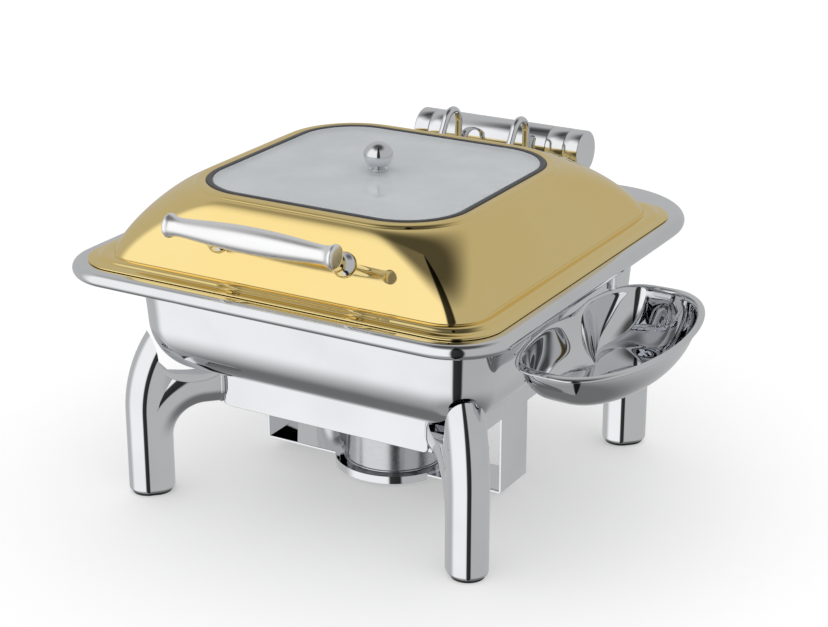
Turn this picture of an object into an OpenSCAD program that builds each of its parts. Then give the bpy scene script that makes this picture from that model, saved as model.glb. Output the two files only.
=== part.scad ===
// Square chafing dish with a hinged window lid, a side bowl and a fuel cup.
// The origin is on the floor, midway between the four feet. +Z is up and the
// handle faces -Y.

/* [Stand] */
// Half the spacing of the feet along X
foot_x = 180; // [170:1:190]
// Half the spacing of the feet along Y
foot_y = 174; // [166:1:182]
// Width of the oval leg tube along the corner's diagonal
leg_long = 46; // [42:1:50]
// Width of the oval leg tube across the corner's diagonal
leg_short = 39; // [36:1:42]
// Thickness of each foot pad
pad_t = 4; // [4:1:7]
// Height of the lower edge of the frame rails
rail_z = 91; // [87:1:94]
// Height of the frame rails
rail_h = 36; // [30:1:36]
// Thickness of the flat bar that the frame is made of
bar_t = 3; // [2:0.5:4]
// Half the distance between the outer faces of the side rails
rail_x = 139; // [134:1:142]
// Half the distance between the outer faces of the front and back rails
rail_y = 134; // [130:1:138]

/* [Burner] */
// Width of the strap under the pan
strap_w = 55; // [45:1:65]
// Height of the strap above the floor
strap_z = 9.5; // [8:0.5:12]
// Outer radius of the round plate under the fuel cup
plate_r = 61; // [56:1:64]
// Outer radius of the fuel cup
cup_r = 49; // [44:1:50]
// Height of the fuel cup
cup_h = 62; // [45:1:68]

/* [Water pan] */
// Half the width of the pan's body at its mouth
pan_x = 196; // [193:1:198]
// Distance of the body's front wall from the middle, at its mouth
pan_front = 187; // [185:1:192]
// Distance of the body's back wall from the middle, at its mouth
pan_back = 186; // [184:1:188]
// Height of the pan's flat rim
rim_z = 252.8; // [249:0.2:255]
// Height of the underside of the pan
pan_base_z = 127.3; // [127.1:0.1:129]
// Radius of the rolled edge of the rim
roll_r = 7; // [5:0.5:8]
// Half the width of the rim
rim_x = 235; // [232:1:238]
// Distance of the rim's front edge from the middle
rim_front = 250; // [247:1:253]
// Distance of the rim's back edge from the middle
rim_back = 262; // [256:1:266]

/* [Lid] */
// Half the width of the lid's flange
flange_x = 220.7; // [218:0.1:223]
// Distance of the flange's front edge from the middle
flange_front = 235.2; // [232:0.2:237]
// Distance of the flange's back edge from the middle
flange_back = 208; // [204:1:209]
// Half the width of the dome where it meets the flange
dome_x = 199.6; // [196:0.2:202]
// Height of the window glass
window_z = 324; // [315:1:329]
// Half the width of the window
window_x = 137; // [132:1:141]
// Distance of the window's front edge from the middle
window_front = 163; // [158:1:166]
// Distance of the window's back edge from the middle
window_back = 106; // [100:1:110]
// Corner radius of the window
window_r = 62; // [50:1:68]
// Thickness of the lid's sheet
lid_t = 1.5; // [1.2:0.1:2]

/* [Hinge] */
// Distance of the hinge barrel's axis behind the middle
barrel_y = 233; // [231:1:236]
// Height of the hinge barrel's axis
barrel_z = 290; // [288:1:293]
// Radius of the hinge barrel
barrel_r = 23; // [21:0.5:24]
// Half the length of the hinge barrel
barrel_half = 98.6; // [94:0.2:102]
// Half the distance between the two lid arms
arm_x = 40.5; // [36:0.5:44]
// Radius of the arm rod
arm_r = 4; // [3:0.5:4.5]

/* [Handle] */
// Half the length of the handle's grip
grip_half = 90; // [82:1:94]
// Half the distance between the handle's posts
post_x = 68; // [60:1:76]
// Distance of the grip's axis in front of the middle
grip_y = 248; // [244:1:252]
// Height of the grip's axis
grip_z = 315.7; // [312:0.1:319]

/* [Side bowl] */
// Height of the bowl's rim
bowl_z = 208; // [204:1:212]
// Depth of the bowl
bowl_depth = 44; // [36:1:50]
// Thickness of the bowl's sheet
bowl_t = 1.5; // [1.2:0.1:2]

/* [Hidden] */

$fn = 96;

chrome_colour = [0.80, 0.81, 0.83];
gold_colour = [0.90, 0.74, 0.36];
black_colour = [0.06, 0.06, 0.06];
satin_colour = [0.88, 0.88, 0.89];
glass_colour = [0.72, 0.74, 0.76, 0.6];
steel_colour = [0.70, 0.71, 0.73];

gap = 0.3;

// ---- legs ----
leg_bow_r = 147;      // outer radius of the bowed upper part
leg_bow_z = 88;       // height where the bow starts
leg_bend_r = 33;      // inner radius of the bend into the neck
neck_len = 70;        // from the leg's axis to the neck's end
collar_t = 4;
foot_round = 4;
corner_half = 17;     // half the width of the plates across the frame's corners
corner_step = 23.8;   // how far the rails stop short of the frame's corners

// ---- pan ----
pan_taper = 5;        // how far the wall leans in above the bottom's round
round_in = 50;        // the round between wall and base, measured inwards
round_up = 56;        // and upwards
pan_corner = 47;      // corner radius at the mouth
corner_shrink = 0.75; // how fast the corner radius shrinks as the outline moves in
pan_t = 1.5;
rim_front_r = 60;
rim_back_r = 102;
arch_z = 115.3;       // lowest point of the saddle cut into the leg necks
arch_up = 30;         // how far the saddle rises to the pan's wall
food_depth = 65;

// ---- lid ----
dome_front = flange_front - 21.4;
dome_back = flange_back - 22;
dome_z = rim_z + 5.4;
dome_r = 36;
flange_r = 47;
top_margin = 15;      // gold border round the window
shoulder = 1.32;      // 1 is a straight slope, 2 is a quarter ellipse
top_z = window_z - 3;
knob_y = (window_back - window_front) / 2;

// ---- handle ----
post_tilt = 62;       // angle of the posts from upright
post_len = 52.4;      // from the grip's axis to the dome
stud_r = 3;

// ---- hinge ----
sleeve_half = 60;     // half the length of the sleeve that turns with the lid
ring_end = 80.5;      // distance of the fixed rings' outer ends from the middle
seam = 0.4;
axle_r = 5;
arm_back = barrel_y - barrel_r - arm_r;
arm_bow = 15;         // radius of the bend over the top of each arm
arm_top = 312;
arm_lean = 32;        // lean of the arm's front rod from upright
arm_reach = 31;       // length of the front rod, down to the dome

// ---- burner and side bowl ----
plate_z = strap_z + 2.5;
bowl_mid = [260.5, -32];
bowl_half_x = 65.5;
bowl_half_y = 134;

// Corner arc of an outline: centre, radius, first angle
function arc(cx, cy, r, a0, n) =
    [for (i = [0:n]) [cx + r * cos(a0 + 90 * i / n), cy + r * sin(a0 + 90 * i / n)]];

// Rounded rectangle seen from above, anticlockwise from the right side's front
function outline(hx, yf, yb, rf, rb, n = 12) = concat(
    arc(hx - rf, -yf + rf, rf, -90, n),
    arc(hx - rb, yb - rb, rb, 0, n),
    arc(-hx + rb, yb - rb, rb, 90, n),
    arc(-hx + rf, -yf + rf, rf, 180, n));

function at_z(points, z) = [for (p = points) [p[0], p[1], z]];

// Surface through rings of equal length, either closed on itself or capped
module skin(rings, closed = false) {
    n = len(rings[0]);
    m = len(rings);
    last = closed ? m - 1 : m - 2;
    walls = [for (j = [0:last]) for (i = [0:n - 1])
        [j * n + i, ((j + 1) % m) * n + i, ((j + 1) % m) * n + (i + 1) % n, j * n + (i + 1) % n]];
    halves = [for (w = walls) each [[w[0], w[1], w[2]], [w[0], w[2], w[3]]]];
    caps = closed ? [] : [[for (i = [0:n - 1]) i], [for (i = [n - 1:-1:0]) (m - 1) * n + i]];
    polyhedron(points = [for (r = rings) each r], faces = concat(halves, caps), convexity = 10);
}

// Flat rounded rectangle built from squares and circles
module rounded(hx, yf, yb, r) {
    translate([-hx + r, -yf]) square([2 * (hx - r), yf + yb]);
    translate([-hx, -yf + r]) square([2 * hx, yf + yb - 2 * r]);
    for (x = [-hx + r, hx - r]) for (y = [-yf + r, yb - r]) translate([x, y]) circle(r);
}

// ---- stand ----
module oval(grow = 0) {
    shift = (leg_long - leg_short) / 2;
    r = leg_short / 2 + grow;
    for (x = [-shift, shift]) translate([x, 0]) circle(r);
    square([2 * shift, 2 * r], center = true);
}

// Upright leg with its bow and neck; local +X points in along the diagonal
module leg_raw() {
    half = leg_long / 2;
    foot_top = pad_t - 1;
    translate([0, 0, foot_top + foot_round]) linear_extrude(leg_bow_z - foot_top - foot_round) oval();
    translate([0, 0, foot_top]) linear_extrude(foot_round + 0.01) oval(-foot_round / 2);
    // bow that leans in towards the pan
    bow = leg_bow_r - half;
    translate([bow, 0, leg_bow_z]) rotate([90, 0, 0]) mirror([1, 0, 0])
        rotate_extrude(angle = 38) translate([bow, 0]) oval();
    // bend into the neck, then the neck itself
    bend = leg_bend_r + half;
    translate([bend, 0, rail_z - leg_bend_r]) rotate([90, 0, 0]) mirror([1, 0, 0])
        rotate_extrude(angle = 90) translate([bend, 0]) oval();
    translate([bend, 0, rail_z + half]) rotate([0, 90, 0]) linear_extrude(neck_len - bend) oval();
}

// Space that the corner of the pan takes, with a little clearance
module pan_corner_space() {
    r = pan_corner + 0.5;
    low = r - pan_taper;
    curve = [for (a = [6:6:90]) [low * sin(a), arch_z + arch_up * (1 - cos(a))]];
    translate([-pan_x + pan_corner, -pan_front + pan_corner, 0])
        rotate_extrude() polygon(concat([[0, arch_z]], curve, [[r, rim_z], [0, rim_z]]));
    translate([-pan_x + pan_corner, -pan_front + pan_corner, arch_z])
        cube([100, 100, rim_z - arch_z]);
}

module place(sx, sy) { mirror([sx > 0 ? 1 : 0, 0, 0]) mirror([0, sy > 0 ? 1 : 0, 0]) children(); }

module leg(sx, sy) {
    color(chrome_colour) place(sx, sy) difference() {
        translate([-foot_x, -foot_y, 0]) rotate([0, 0, 45]) leg_raw();
        pan_corner_space();
    }
}

module foot(sx, sy) {
    color(black_colour) place(sx, sy) translate([-foot_x, -foot_y, 0]) rotate([0, 0, 45]) {
        linear_extrude(pad_t - 1) oval(-foot_round / 2 - 1);
    }
}

module collar(sx, sy) {
    half = leg_long / 2;
    color(chrome_colour) place(sx, sy) difference() {
        translate([-foot_x, -foot_y, 0]) rotate([0, 0, 45]) translate([neck_len, 0, rail_z + half])
            rotate([0, 90, 0]) linear_extrude(collar_t) oval(1);
        pan_corner_space();
    }
}

// Flat plate across the corner of the frame that the collar is welded to
module corner_plate(sx, sy) {
    reach = neck_len + collar_t;
    color(chrome_colour) place(sx, sy) intersection() {
        translate([-foot_x, -foot_y, rail_z]) rotate([0, 0, 45])
            translate([reach, -corner_half, 0]) cube([bar_t, 2 * corner_half, 26]);
        translate([-rail_x + bar_t, -rail_y + bar_t, rail_z]) cube(60);
    }
}

module rail_plate(length) {
    r = 5;
    rotate([90, 0, 0]) linear_extrude(bar_t) union() {
        translate([-length / 2, r]) square([length, rail_h - r]);
        translate([-length / 2 + r, 0]) square([length - 2 * r, rail_h]);
        for (x = [-length / 2 + r, length / 2 - r]) translate([x, r]) circle(r);
    }
}

module rail_fb(side) {
    color(chrome_colour) translate([0, side < 0 ? -rail_y + bar_t : rail_y, rail_z])
        rail_plate(2 * (rail_x - corner_step));
}

module rail_lr(side) {
    color(chrome_colour) translate([side < 0 ? -rail_x : rail_x - bar_t, 0, rail_z])
        rotate([0, 0, 90]) rail_plate(2 * (rail_y - corner_step));
}

module burner_strap() {
    x = rail_x - 0.5;
    t = 2.5;
    r = 3;
    color(chrome_colour) translate([0, strap_w / 2, 0]) rotate([90, 0, 0]) linear_extrude(strap_w) {
        for (s = [-1, 1]) {
            translate([s < 0 ? -x : x - t, strap_z + r]) square([t, rail_z - strap_z - r]);
            intersection() {
                translate([s * (x - r), strap_z + r]) difference() { circle(r); circle(r - t); }
                translate([s < 0 ? -x : x - r, strap_z]) square(r);
            }
        }
        translate([-x + r, strap_z]) square([2 * (x - r), t]);
    }
}

// ---- pans ----
// Outline of the water pan's body, moved in by d from its mouth
function body_ring(d, z) =
    let (r = pan_corner - corner_shrink * d)
    at_z(outline(pan_x - d, pan_front - d, pan_back - d, r, r), z);

// Outline of the rim, moved in by d from its outer edge
function rim_ring(d, z) =
    at_z(outline(rim_x - d, rim_front - d, rim_back - d, rim_front_r - d, rim_back_r - d), z);

module water_pan() {
    steps = 7;
    wall_low = pan_base_z + round_up;
    outer = concat(
        [for (i = [0:steps]) body_ring(pan_taper + round_in * (1 - sin(90 * i / steps)),
            wall_low - round_up * cos(90 * i / steps))],
        [body_ring(0, rim_z - 6), body_ring(-4, rim_z - pan_t)]);
    roll = concat(
        [rim_ring(roll_r * 1.6, rim_z - pan_t)],
        [for (i = [0:8]) rim_ring(roll_r - roll_r * cos(-60 + 150 * i / 8),
            rim_z - roll_r + roll_r * sin(-60 + 150 * i / 8))]);
    inner = concat(
        [body_ring(-2, rim_z), body_ring(pan_t, rim_z - 6)],
        [for (i = [steps:-1:0]) body_ring(pan_t + pan_taper + (round_in - pan_t) * (1 - sin(90 * i / steps)),
            wall_low - (round_up - pan_t) * cos(90 * i / steps))]);
    color(chrome_colour) skin(concat(outer, roll, inner));
}

// Insert that holds the food; its edge lies on the water pan's rim
module food_pan() {
    t = 1;
    low = rim_z - food_depth;
    outside = [body_ring(34, low), body_ring(25, low + 2.5), body_ring(20, low + 10),
        body_ring(11, rim_z - 6), body_ring(8, rim_z)];
    edge = [body_ring(-6.5, rim_z), body_ring(-7, rim_z + t), body_ring(7, rim_z + t)];
    inside = [body_ring(11 + t, rim_z - 6), body_ring(20 + t, low + 10), body_ring(25.5, low + 2.5 + t),
        body_ring(34, low + t)];
    color(steel_colour) skin(concat(outside, edge, inside));
}

// ---- lid ----
// Outline of the lid at a share s of the way from the dome's foot (0) to its top (1)
function dome_ring(s, z, inset = 0) =
    let (mix = function(a, b) a + (b - a) * s - inset,
         r = dome_r + (window_r + top_margin - dome_r) * s - inset)
    at_z(outline(mix(dome_x, window_x + top_margin), mix(dome_front, window_front + top_margin),
        mix(dome_back, window_back + top_margin), r, r), z);

// Outline of the flange, moved in by d from its outer edge
function flange_ring(d, z) =
    let (r = flange_r - d * 0.5)
    at_z(outline(flange_x - d, flange_front - d, flange_back - d, r, r), z);

function window_ring(d, z) = at_z(outline(window_x + d, window_front + d, window_back + d,
    window_r + d, window_r + d), z);

function dome_in(t) = 1 - pow(cos(t), 2 / shoulder);
function dome_up(t) = pow(sin(t), 2 / shoulder);

module lid_shell() {
    n = 12;
    base = rim_z + gap;
    rise = top_z - dome_z;
    flange = [flange_ring(0, base), flange_ring(0, base + 1.5), flange_ring(3, base + 2.6),
        flange_ring(8, base + 2.8), flange_ring(10, base + 5), flange_ring(14, base + 6.4),
        flange_ring(18, base + 6.2), flange_ring(20, dome_z - 0.4)];
    dome = [for (i = [1:n]) dome_ring(dome_in(90 * i / n), dome_z + rise * dome_up(90 * i / n))];
    top = [window_ring(13, top_z + 0.2), window_ring(11, top_z + 2.6), window_ring(7, top_z + 3.6),
        window_ring(2, top_z + 3.2), window_ring(1, top_z + 2.6)];
    under_top = [window_ring(1, top_z - lid_t), window_ring(12, top_z - lid_t)];
    under_dome = [for (i = [n:-1:1])
        dome_ring(dome_in(90 * i / n), dome_z - lid_t + (rise - 0.2) * dome_up(90 * i / n), lid_t)];
    under_flange = [flange_ring(21.5, dome_z - 1.5), flange_ring(16, base + 4.4), flange_ring(12, base + 3.4),
        flange_ring(10.5, base)];
    color(gold_colour) difference() {
        skin(concat(flange, dome, top, under_top, under_dome, under_flange), closed = true);
        for (s = [-1, 1]) on_post(s) translate([0, 0, -post_len - 8]) cylinder(h = 12, r = stud_r + 0.2);
    }
}

module window_gasket() {
    color(black_colour) translate([0, 0, window_z - 4.4]) linear_extrude(5.2) difference() {
        rounded(window_x + 0.7, window_front + 0.7, window_back + 0.7, window_r + 0.7);
        rounded(window_x - 5, window_front - 5, window_back - 5, window_r - 6);
    }
}

module window_glass() {
    color(glass_colour) translate([0, 0, window_z - 4]) linear_extrude(4) difference() {
        rounded(window_x - 5, window_front - 5, window_back - 5, window_r - 6);
        translate([0, knob_y]) circle(4);
    }
}

module window_knob() {
    color(chrome_colour) translate([0, knob_y, window_z]) rotate_extrude() {
        square([9, 2]);
        square([5, 8]);
        polygon([for (a = [-90:6:90]) [14.6 * cos(a), 15 + 13.2 * sin(a)]]);
    }
}

module knob_nut() {
    color(chrome_colour) translate([0, knob_y, window_z - 9]) {
        translate([0, 0, 2]) cylinder(h = 3, r = 9);
        cylinder(h = 3, r = 6, $fn = 6);
        cylinder(h = 9, r = 3.9);
    }
}

// ---- handle ----
// Radius of the grip at a share of its half length
function grip_radius(s) = 7.8 + 4.6 * pow(cos(90 * s), 1.2);

module handle_grip() {
    n = 17;
    flare = grip_half - 4;
    belly = [for (i = [-n:n])
        let (x = flare * i / n)
        [grip_radius(abs(x) / flare) + 3.6 * exp((abs(x) - flare) / 4.5), x]];
    color(satin_colour) translate([0, -grip_y, grip_z]) rotate([0, 90, 0]) rotate_extrude()
        polygon(concat([[0, -grip_half], [9, -grip_half], [11.4, 2 - grip_half]], belly,
            [[11.4, grip_half - 2], [9, grip_half], [0, grip_half]]));
}

// Frame on the grip's axis with +Z along the post, away from the lid
module on_post(s) { translate([s * post_x, -grip_y, grip_z]) rotate([post_tilt, 0, 0]) children(); }

module handle_post(s) {
    color(chrome_colour) difference() {
        on_post(s) {
            translate([0, 0, -post_len]) cylinder(h = post_len, r = 6);
            translate([0, 0, -post_len]) cylinder(h = 2, r = 12);
            translate([0, 0, -post_len + 2]) cylinder(h = 8, r1 = 12, r2 = 6);
        }
        handle_grip();
    }
}

// Studs of the posts, through the dome's sheet, each with its nut
module handle_nuts() {
    color(chrome_colour) for (s = [-1, 1]) on_post(s) {
        translate([0, 0, -post_len - 7.6]) cylinder(h = 5, r = 6.5, $fn = 6);
        translate([0, 0, -post_len - 10]) cylinder(h = 10, r = stud_r);
    }
}

// ---- hinge ----
module along_barrel(x0, x1, r) {
    translate([x0, barrel_y, barrel_z]) rotate([0, 90, 0]) cylinder(h = x1 - x0, r = r);
}

module hinge_sleeve() {
    color(chrome_colour) difference() {
        along_barrel(-sleeve_half, sleeve_half, barrel_r);
        along_barrel(-sleeve_half - 1, sleeve_half + 1, barrel_r - 3);
    }
}

module hinge_ring(s) {
    x0 = s < 0 ? -ring_end : sleeve_half + seam;
    x1 = s < 0 ? -sleeve_half - seam : ring_end;
    color(chrome_colour) difference() {
        along_barrel(x0, x1, barrel_r);
        along_barrel(x0 - 1, x1 + 1, axle_r);
    }
}

module hinge_cap(s) {
    wide = barrel_half - ring_end - seam;
    color(chrome_colour) translate([s * (ring_end + seam), barrel_y, barrel_z]) rotate([0, s * 90, 0])
        rotate_extrude() difference() {
            union() {
                square([barrel_r, wide - 2]);
                square([barrel_r - 2, wide]);
                translate([barrel_r - 2, wide - 2]) circle(2);
            }
            translate([0, -1]) square([axle_r, 9]);
        }
}

module hinge_axle() {
    color(steel_colour) along_barrel(-ring_end - 7, ring_end + 7, axle_r);
}

module hinge_damper() {
    color(steel_colour) difference() {
        along_barrel(-50, 50, barrel_r - 3.3);
        along_barrel(-51, 51, axle_r);
    }
}

module hinge_seat(s) {
    x = s * (sleeve_half + seam + ring_end) / 2;
    color(chrome_colour) difference() {
        union() {
            translate([x - 9, barrel_y - 12, rim_z]) cube([18, 24, 24]);
            translate([x - 12, barrel_y - 20, rim_z]) cube([24, 34, 3]);
        }
        along_barrel(x - 15, x + 15, barrel_r);
    }
}

// Rod path seen along X: foot on the dome, over the top, down in front of the barrel
module lid_arm(s) {
    turn = 180 - arm_lean;
    color(chrome_colour) translate([s * arm_x, 0, 0]) {
        translate([0, arm_back, arm_top - 50]) cylinder(h = 50, r = arm_r);
        translate([0, arm_back - arm_bow, arm_top]) {
            rotate([90, 0, 90]) rotate_extrude(angle = turn) translate([arm_bow, 0]) circle(arm_r);
            rotate([-arm_lean, 0, 0]) translate([0, -arm_bow, -arm_reach]) cylinder(h = arm_reach, r = arm_r);
        }
    }
}

module arm_pads() {
    low = rim_z + gap + 2.8;
    color(chrome_colour) for (s = [-1, 1]) translate([s * arm_x - 8, flange_back - 7.8, low])
        cube([16, 7.3, arm_top - 50 - low]);
}

// ---- fuel holder ----
module fuel_plate() {
    skirt = 8;
    color(chrome_colour) difference() {
        translate([0, 0, plate_z]) rotate_extrude() {
            square([plate_r, 1.5]);
            translate([plate_r - 1.5, 1.5 - skirt]) square([1.5, skirt]);
        }
        translate([-plate_r - 1, -strap_w / 2 - gap, 0]) cube([2 * plate_r + 2, strap_w + 2 * gap, plate_z]);
    }
}

module fuel_cup() {
    z = plate_z + 1.5 + gap;
    color(steel_colour) translate([0, 0, z]) rotate_extrude() {
        square([cup_r + 3, 1.2]);
        square([cup_r, 1.5]);
        translate([cup_r - 1.5, 0]) square([1.5, cup_h]);
        translate([cup_r - 1.5, cup_h - 2]) square([3.5, 2]);
    }
}

// ---- side bowl ----
// Plan of the bowl's rim: a long oval with a shallow waist on the pan's side
function bowl_plan(k, n = 56) = [for (i = [0:n - 1])
    let (a = 360 * i / n,
         x = bowl_half_x * (cos(a) < 0 ? -pow(-cos(a), 0.45) : pow(cos(a), 0.95)),
         y = bowl_half_y * sin(a),
         waist = x < 0 ? 7 * exp(-pow((y - 22) / 34, 2)) * -x / bowl_half_x : 0)
    [bowl_mid[0] + (x + waist) * k - 14 * (1 - k), bowl_mid[1] + y * k - 4 * (1 - k)]];

function bowl_ring(k, z) = at_z(bowl_plan(k), bowl_z + z);

module side_bowl() {
    n = 8;
    depth = bowl_depth;
    outer = [for (i = [0:n])
        bowl_ring(0.48 + 0.46 * pow(sin(90 * i / n), 0.9), -depth * pow(cos(90 * i / n), 1.2))];
    inner = [for (i = [n:-1:0])
        bowl_ring(0.47 + 0.45 * pow(sin(90 * i / n), 0.9), -depth * pow(cos(90 * i / n), 1.2) + bowl_t)];
    lip = [bowl_ring(0.95, -2), bowl_ring(0.985, -2.4), bowl_ring(1, -1.2), bowl_ring(0.985, 0.6)];
    color(steel_colour) skin(concat(outer, lip, [bowl_ring(0.94, bowl_t + 0.2)], inner));
}

module bowl_post() {
    top = rim_z - pan_t;
    color(chrome_colour) {
        translate([208, 66, bowl_z + 2.1]) cylinder(h = top - bowl_z - 2.1, r = 5);
        translate([208, 66, top - 3]) cylinder(h = 3, r = 7);
    }
}

leg(-1, -1);  // leg_front_left
leg(1, -1);  // leg_front_right
leg(-1, 1);  // leg_back_left
leg(1, 1);  // leg_back_right
foot(-1, -1);  // foot_front_left
foot(1, -1);  // foot_front_right
foot(-1, 1);  // foot_back_left
foot(1, 1);  // foot_back_right
collar(-1, -1);  // collar_front_left
collar(1, -1);  // collar_front_right
collar(-1, 1);  // collar_back_left
collar(1, 1);  // collar_back_right
corner_plate(-1, -1);  // corner_front_left
corner_plate(1, -1);  // corner_front_right
corner_plate(-1, 1);  // corner_back_left
corner_plate(1, 1);  // corner_back_right
rail_fb(-1);  // rail_front
rail_fb(1);  // rail_back
rail_lr(-1);  // rail_left
rail_lr(1);  // rail_right
burner_strap();
water_pan();
food_pan();
hinge_seat(-1);  // hinge_seat_left
hinge_seat(1);  // hinge_seat_right
hinge_ring(-1);  // hinge_ring_left
hinge_ring(1);  // hinge_ring_right
hinge_cap(-1);  // hinge_cap_left
hinge_cap(1);  // hinge_cap_right
hinge_axle();
hinge_damper();
bowl_post();
fuel_plate();
lid_shell();
window_gasket();
window_glass();
window_knob();
knob_nut();
handle_grip();
handle_post(-1);  // handle_post_left
handle_post(1);  // handle_post_right
handle_nuts();
hinge_sleeve();
lid_arm(-1);  // lid_arm_left
lid_arm(1);  // lid_arm_right
arm_pads();
fuel_cup();
side_bowl();
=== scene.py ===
import math

import bmesh
import bpy
from bpy.props import FloatProperty, FloatVectorProperty, IntProperty, PointerProperty
from mathutils import Matrix, Vector


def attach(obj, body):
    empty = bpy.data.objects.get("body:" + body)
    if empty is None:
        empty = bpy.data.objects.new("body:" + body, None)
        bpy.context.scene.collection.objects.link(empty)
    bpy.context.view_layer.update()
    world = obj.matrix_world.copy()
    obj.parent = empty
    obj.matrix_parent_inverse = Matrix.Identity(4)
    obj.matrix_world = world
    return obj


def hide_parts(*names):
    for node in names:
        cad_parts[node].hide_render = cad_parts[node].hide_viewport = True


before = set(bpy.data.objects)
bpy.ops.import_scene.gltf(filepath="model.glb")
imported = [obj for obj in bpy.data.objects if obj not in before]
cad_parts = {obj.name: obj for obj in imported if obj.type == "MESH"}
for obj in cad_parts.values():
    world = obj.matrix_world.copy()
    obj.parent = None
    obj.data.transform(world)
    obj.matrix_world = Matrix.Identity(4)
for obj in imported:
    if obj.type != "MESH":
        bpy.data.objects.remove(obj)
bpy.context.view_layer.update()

bl_info = {
    "name": "Window lid chafing dish",
    "version": (1, 0, 0),
    "blender": (4, 5, 0),
    "location": "View3D > Sidebar > Chafer",
    "description": "Builds the finished pieces of a square chafing dish round its packed frame",
    "category": "Object",
}

MM = 0.001
PLACES = {"front_left": (1, 1), "front_right": (-1, 1), "back_left": (1, -1), "back_right": (-1, -1)}

# Heights and outlines shared by several pieces, in millimetres
FOOT = (-180.0, -174.0)
LEG_LONG, LEG_SHORT = 46.0, 39.0
RAIL_Z = 91.0
RIM_Z = 252.8
PAN = dict(hx=196.0, front=187.0, back=186.0, corner=47.0, shrink=0.75)
PAN_BASE, PAN_T = 127.3, 1.5
ROUND_IN, ROUND_UP, PAN_TAPER = 50.0, 56.0, 5.0
WINDOW = dict(hx=137.0, front=163.0, back=106.0, corner=62.0)
GLASS_Z = 324.0
KNOB_Y = -28.5
BARREL = (233.0, 290.0, 23.0)
GRIP_Y, GRIP_Z = 248.0, 315.7
BOWL_X, BOWL_Y, BOWL_Z = 260.5, -32.0, 208.0
BOWL_HALF_X, BOWL_HALF_Y = 65.5, 134.0
PLATE_Z = 12.0

# The handle's posts: distance from the middle, lean in degrees, and the foot's place along
# the post, counted from the grip's axis
POST_X, POST_LEAN, POST_FOOT = 68.0, 62, -52.4

# The barrel, counted from its middle: sleeve, ring, end cap, and the gap between them
SLEEVE_END, RING_START, RING_LENGTH = 60, 60.4, 20.1
RING_END, CAP_START, CAP_END, GAP = 80.5, 80.9, 98.6, 0.4
PIN_LENGTH, DAMPER_LENGTH = 175.0, 100
ARM_X = 40.5


# ---------------------------------------------------------------- sizes and colours

class LidSizes(bpy.types.PropertyGroup):
    shoulder: FloatProperty(name="Shoulder", description="1 is a straight slope, 2 a quarter ellipse",
                            default=1.32, min=1.1, max=2.0)
    border: FloatProperty(name="Border", description="Width of the raised border round the window",
                          default=0.015, unit="LENGTH", subtype="DISTANCE")
    sheet: FloatProperty(name="Sheet", description="Thickness of the lid's sheet",
                         default=0.0015, unit="LENGTH", subtype="DISTANCE")


class HandleSizes(bpy.types.PropertyGroup):
    half: FloatProperty(name="Half length", description="Half the length of the grip",
                        default=0.090, unit="LENGTH", subtype="DISTANCE")
    waist: FloatProperty(name="Waist", description="Radius of the grip near its ends",
                         default=0.0078, unit="LENGTH", subtype="DISTANCE")
    belly: FloatProperty(name="Belly", description="How much thicker the grip is in the middle",
                         default=0.0046, unit="LENGTH", subtype="DISTANCE")


class BowlSizes(bpy.types.PropertyGroup):
    depth: FloatProperty(name="Depth", description="Depth of the side bowl",
                         default=0.044, unit="LENGTH", subtype="DISTANCE")
    waist: FloatProperty(name="Waist", description="How far the wall beside the pan bulges in",
                         default=0.007, unit="LENGTH", subtype="DISTANCE")


class FinishColours(bpy.types.PropertyGroup):
    steel: FloatVectorProperty(name="Steel", description="Polished steel", subtype="COLOR",
                               size=3, min=0, max=1, default=(0.80, 0.81, 0.83))
    brushed: FloatVectorProperty(name="Brushed steel", description="Pans, cup and other plain steel",
                                 subtype="COLOR", size=3, min=0, max=1, default=(0.62, 0.63, 0.65))
    satin: FloatVectorProperty(name="Satin steel", description="The grip", subtype="COLOR",
                               size=3, min=0, max=1, default=(0.95, 0.95, 0.96))
    gold: FloatVectorProperty(name="Gold", description="The lid's coating", subtype="COLOR",
                              size=3, min=0, max=1, default=(0.93, 0.72, 0.30))
    seal: FloatVectorProperty(name="Seal", description="The window's seal", subtype="COLOR",
                              size=3, min=0, max=1, default=(0.035, 0.036, 0.040))
    pads: FloatVectorProperty(name="Foot pads", description="Pads under the legs", subtype="COLOR",
                              size=3, min=0, max=1, default=(0.012, 0.012, 0.013))
    # The glass colour, on a pane that is partly opaque, is a painted reflection: a light grey sheet that
    # stands in for the bright room the glass reflects
    glass: FloatVectorProperty(name="Glass", description="Tint of the window", subtype="COLOR",
                               size=3, min=0, max=1, default=(0.70, 0.73, 0.75))


class StageSizes(bpy.types.PropertyGroup):
    floor: FloatProperty(name="Floor", description="Half the width of the floor",
                         default=30.0, unit="LENGTH", subtype="DISTANCE")
    light: FloatProperty(name="Light", description="Brightness of the studio's dome", default=1.0, min=0)
    lens: FloatProperty(name="Lens", description="Focal length in millimetres", default=88.26, min=10)
    segments: IntProperty(name="Segments", description="Steps in a full turn", default=96, min=24)


# ---------------------------------------------------------------- shader maths

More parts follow.
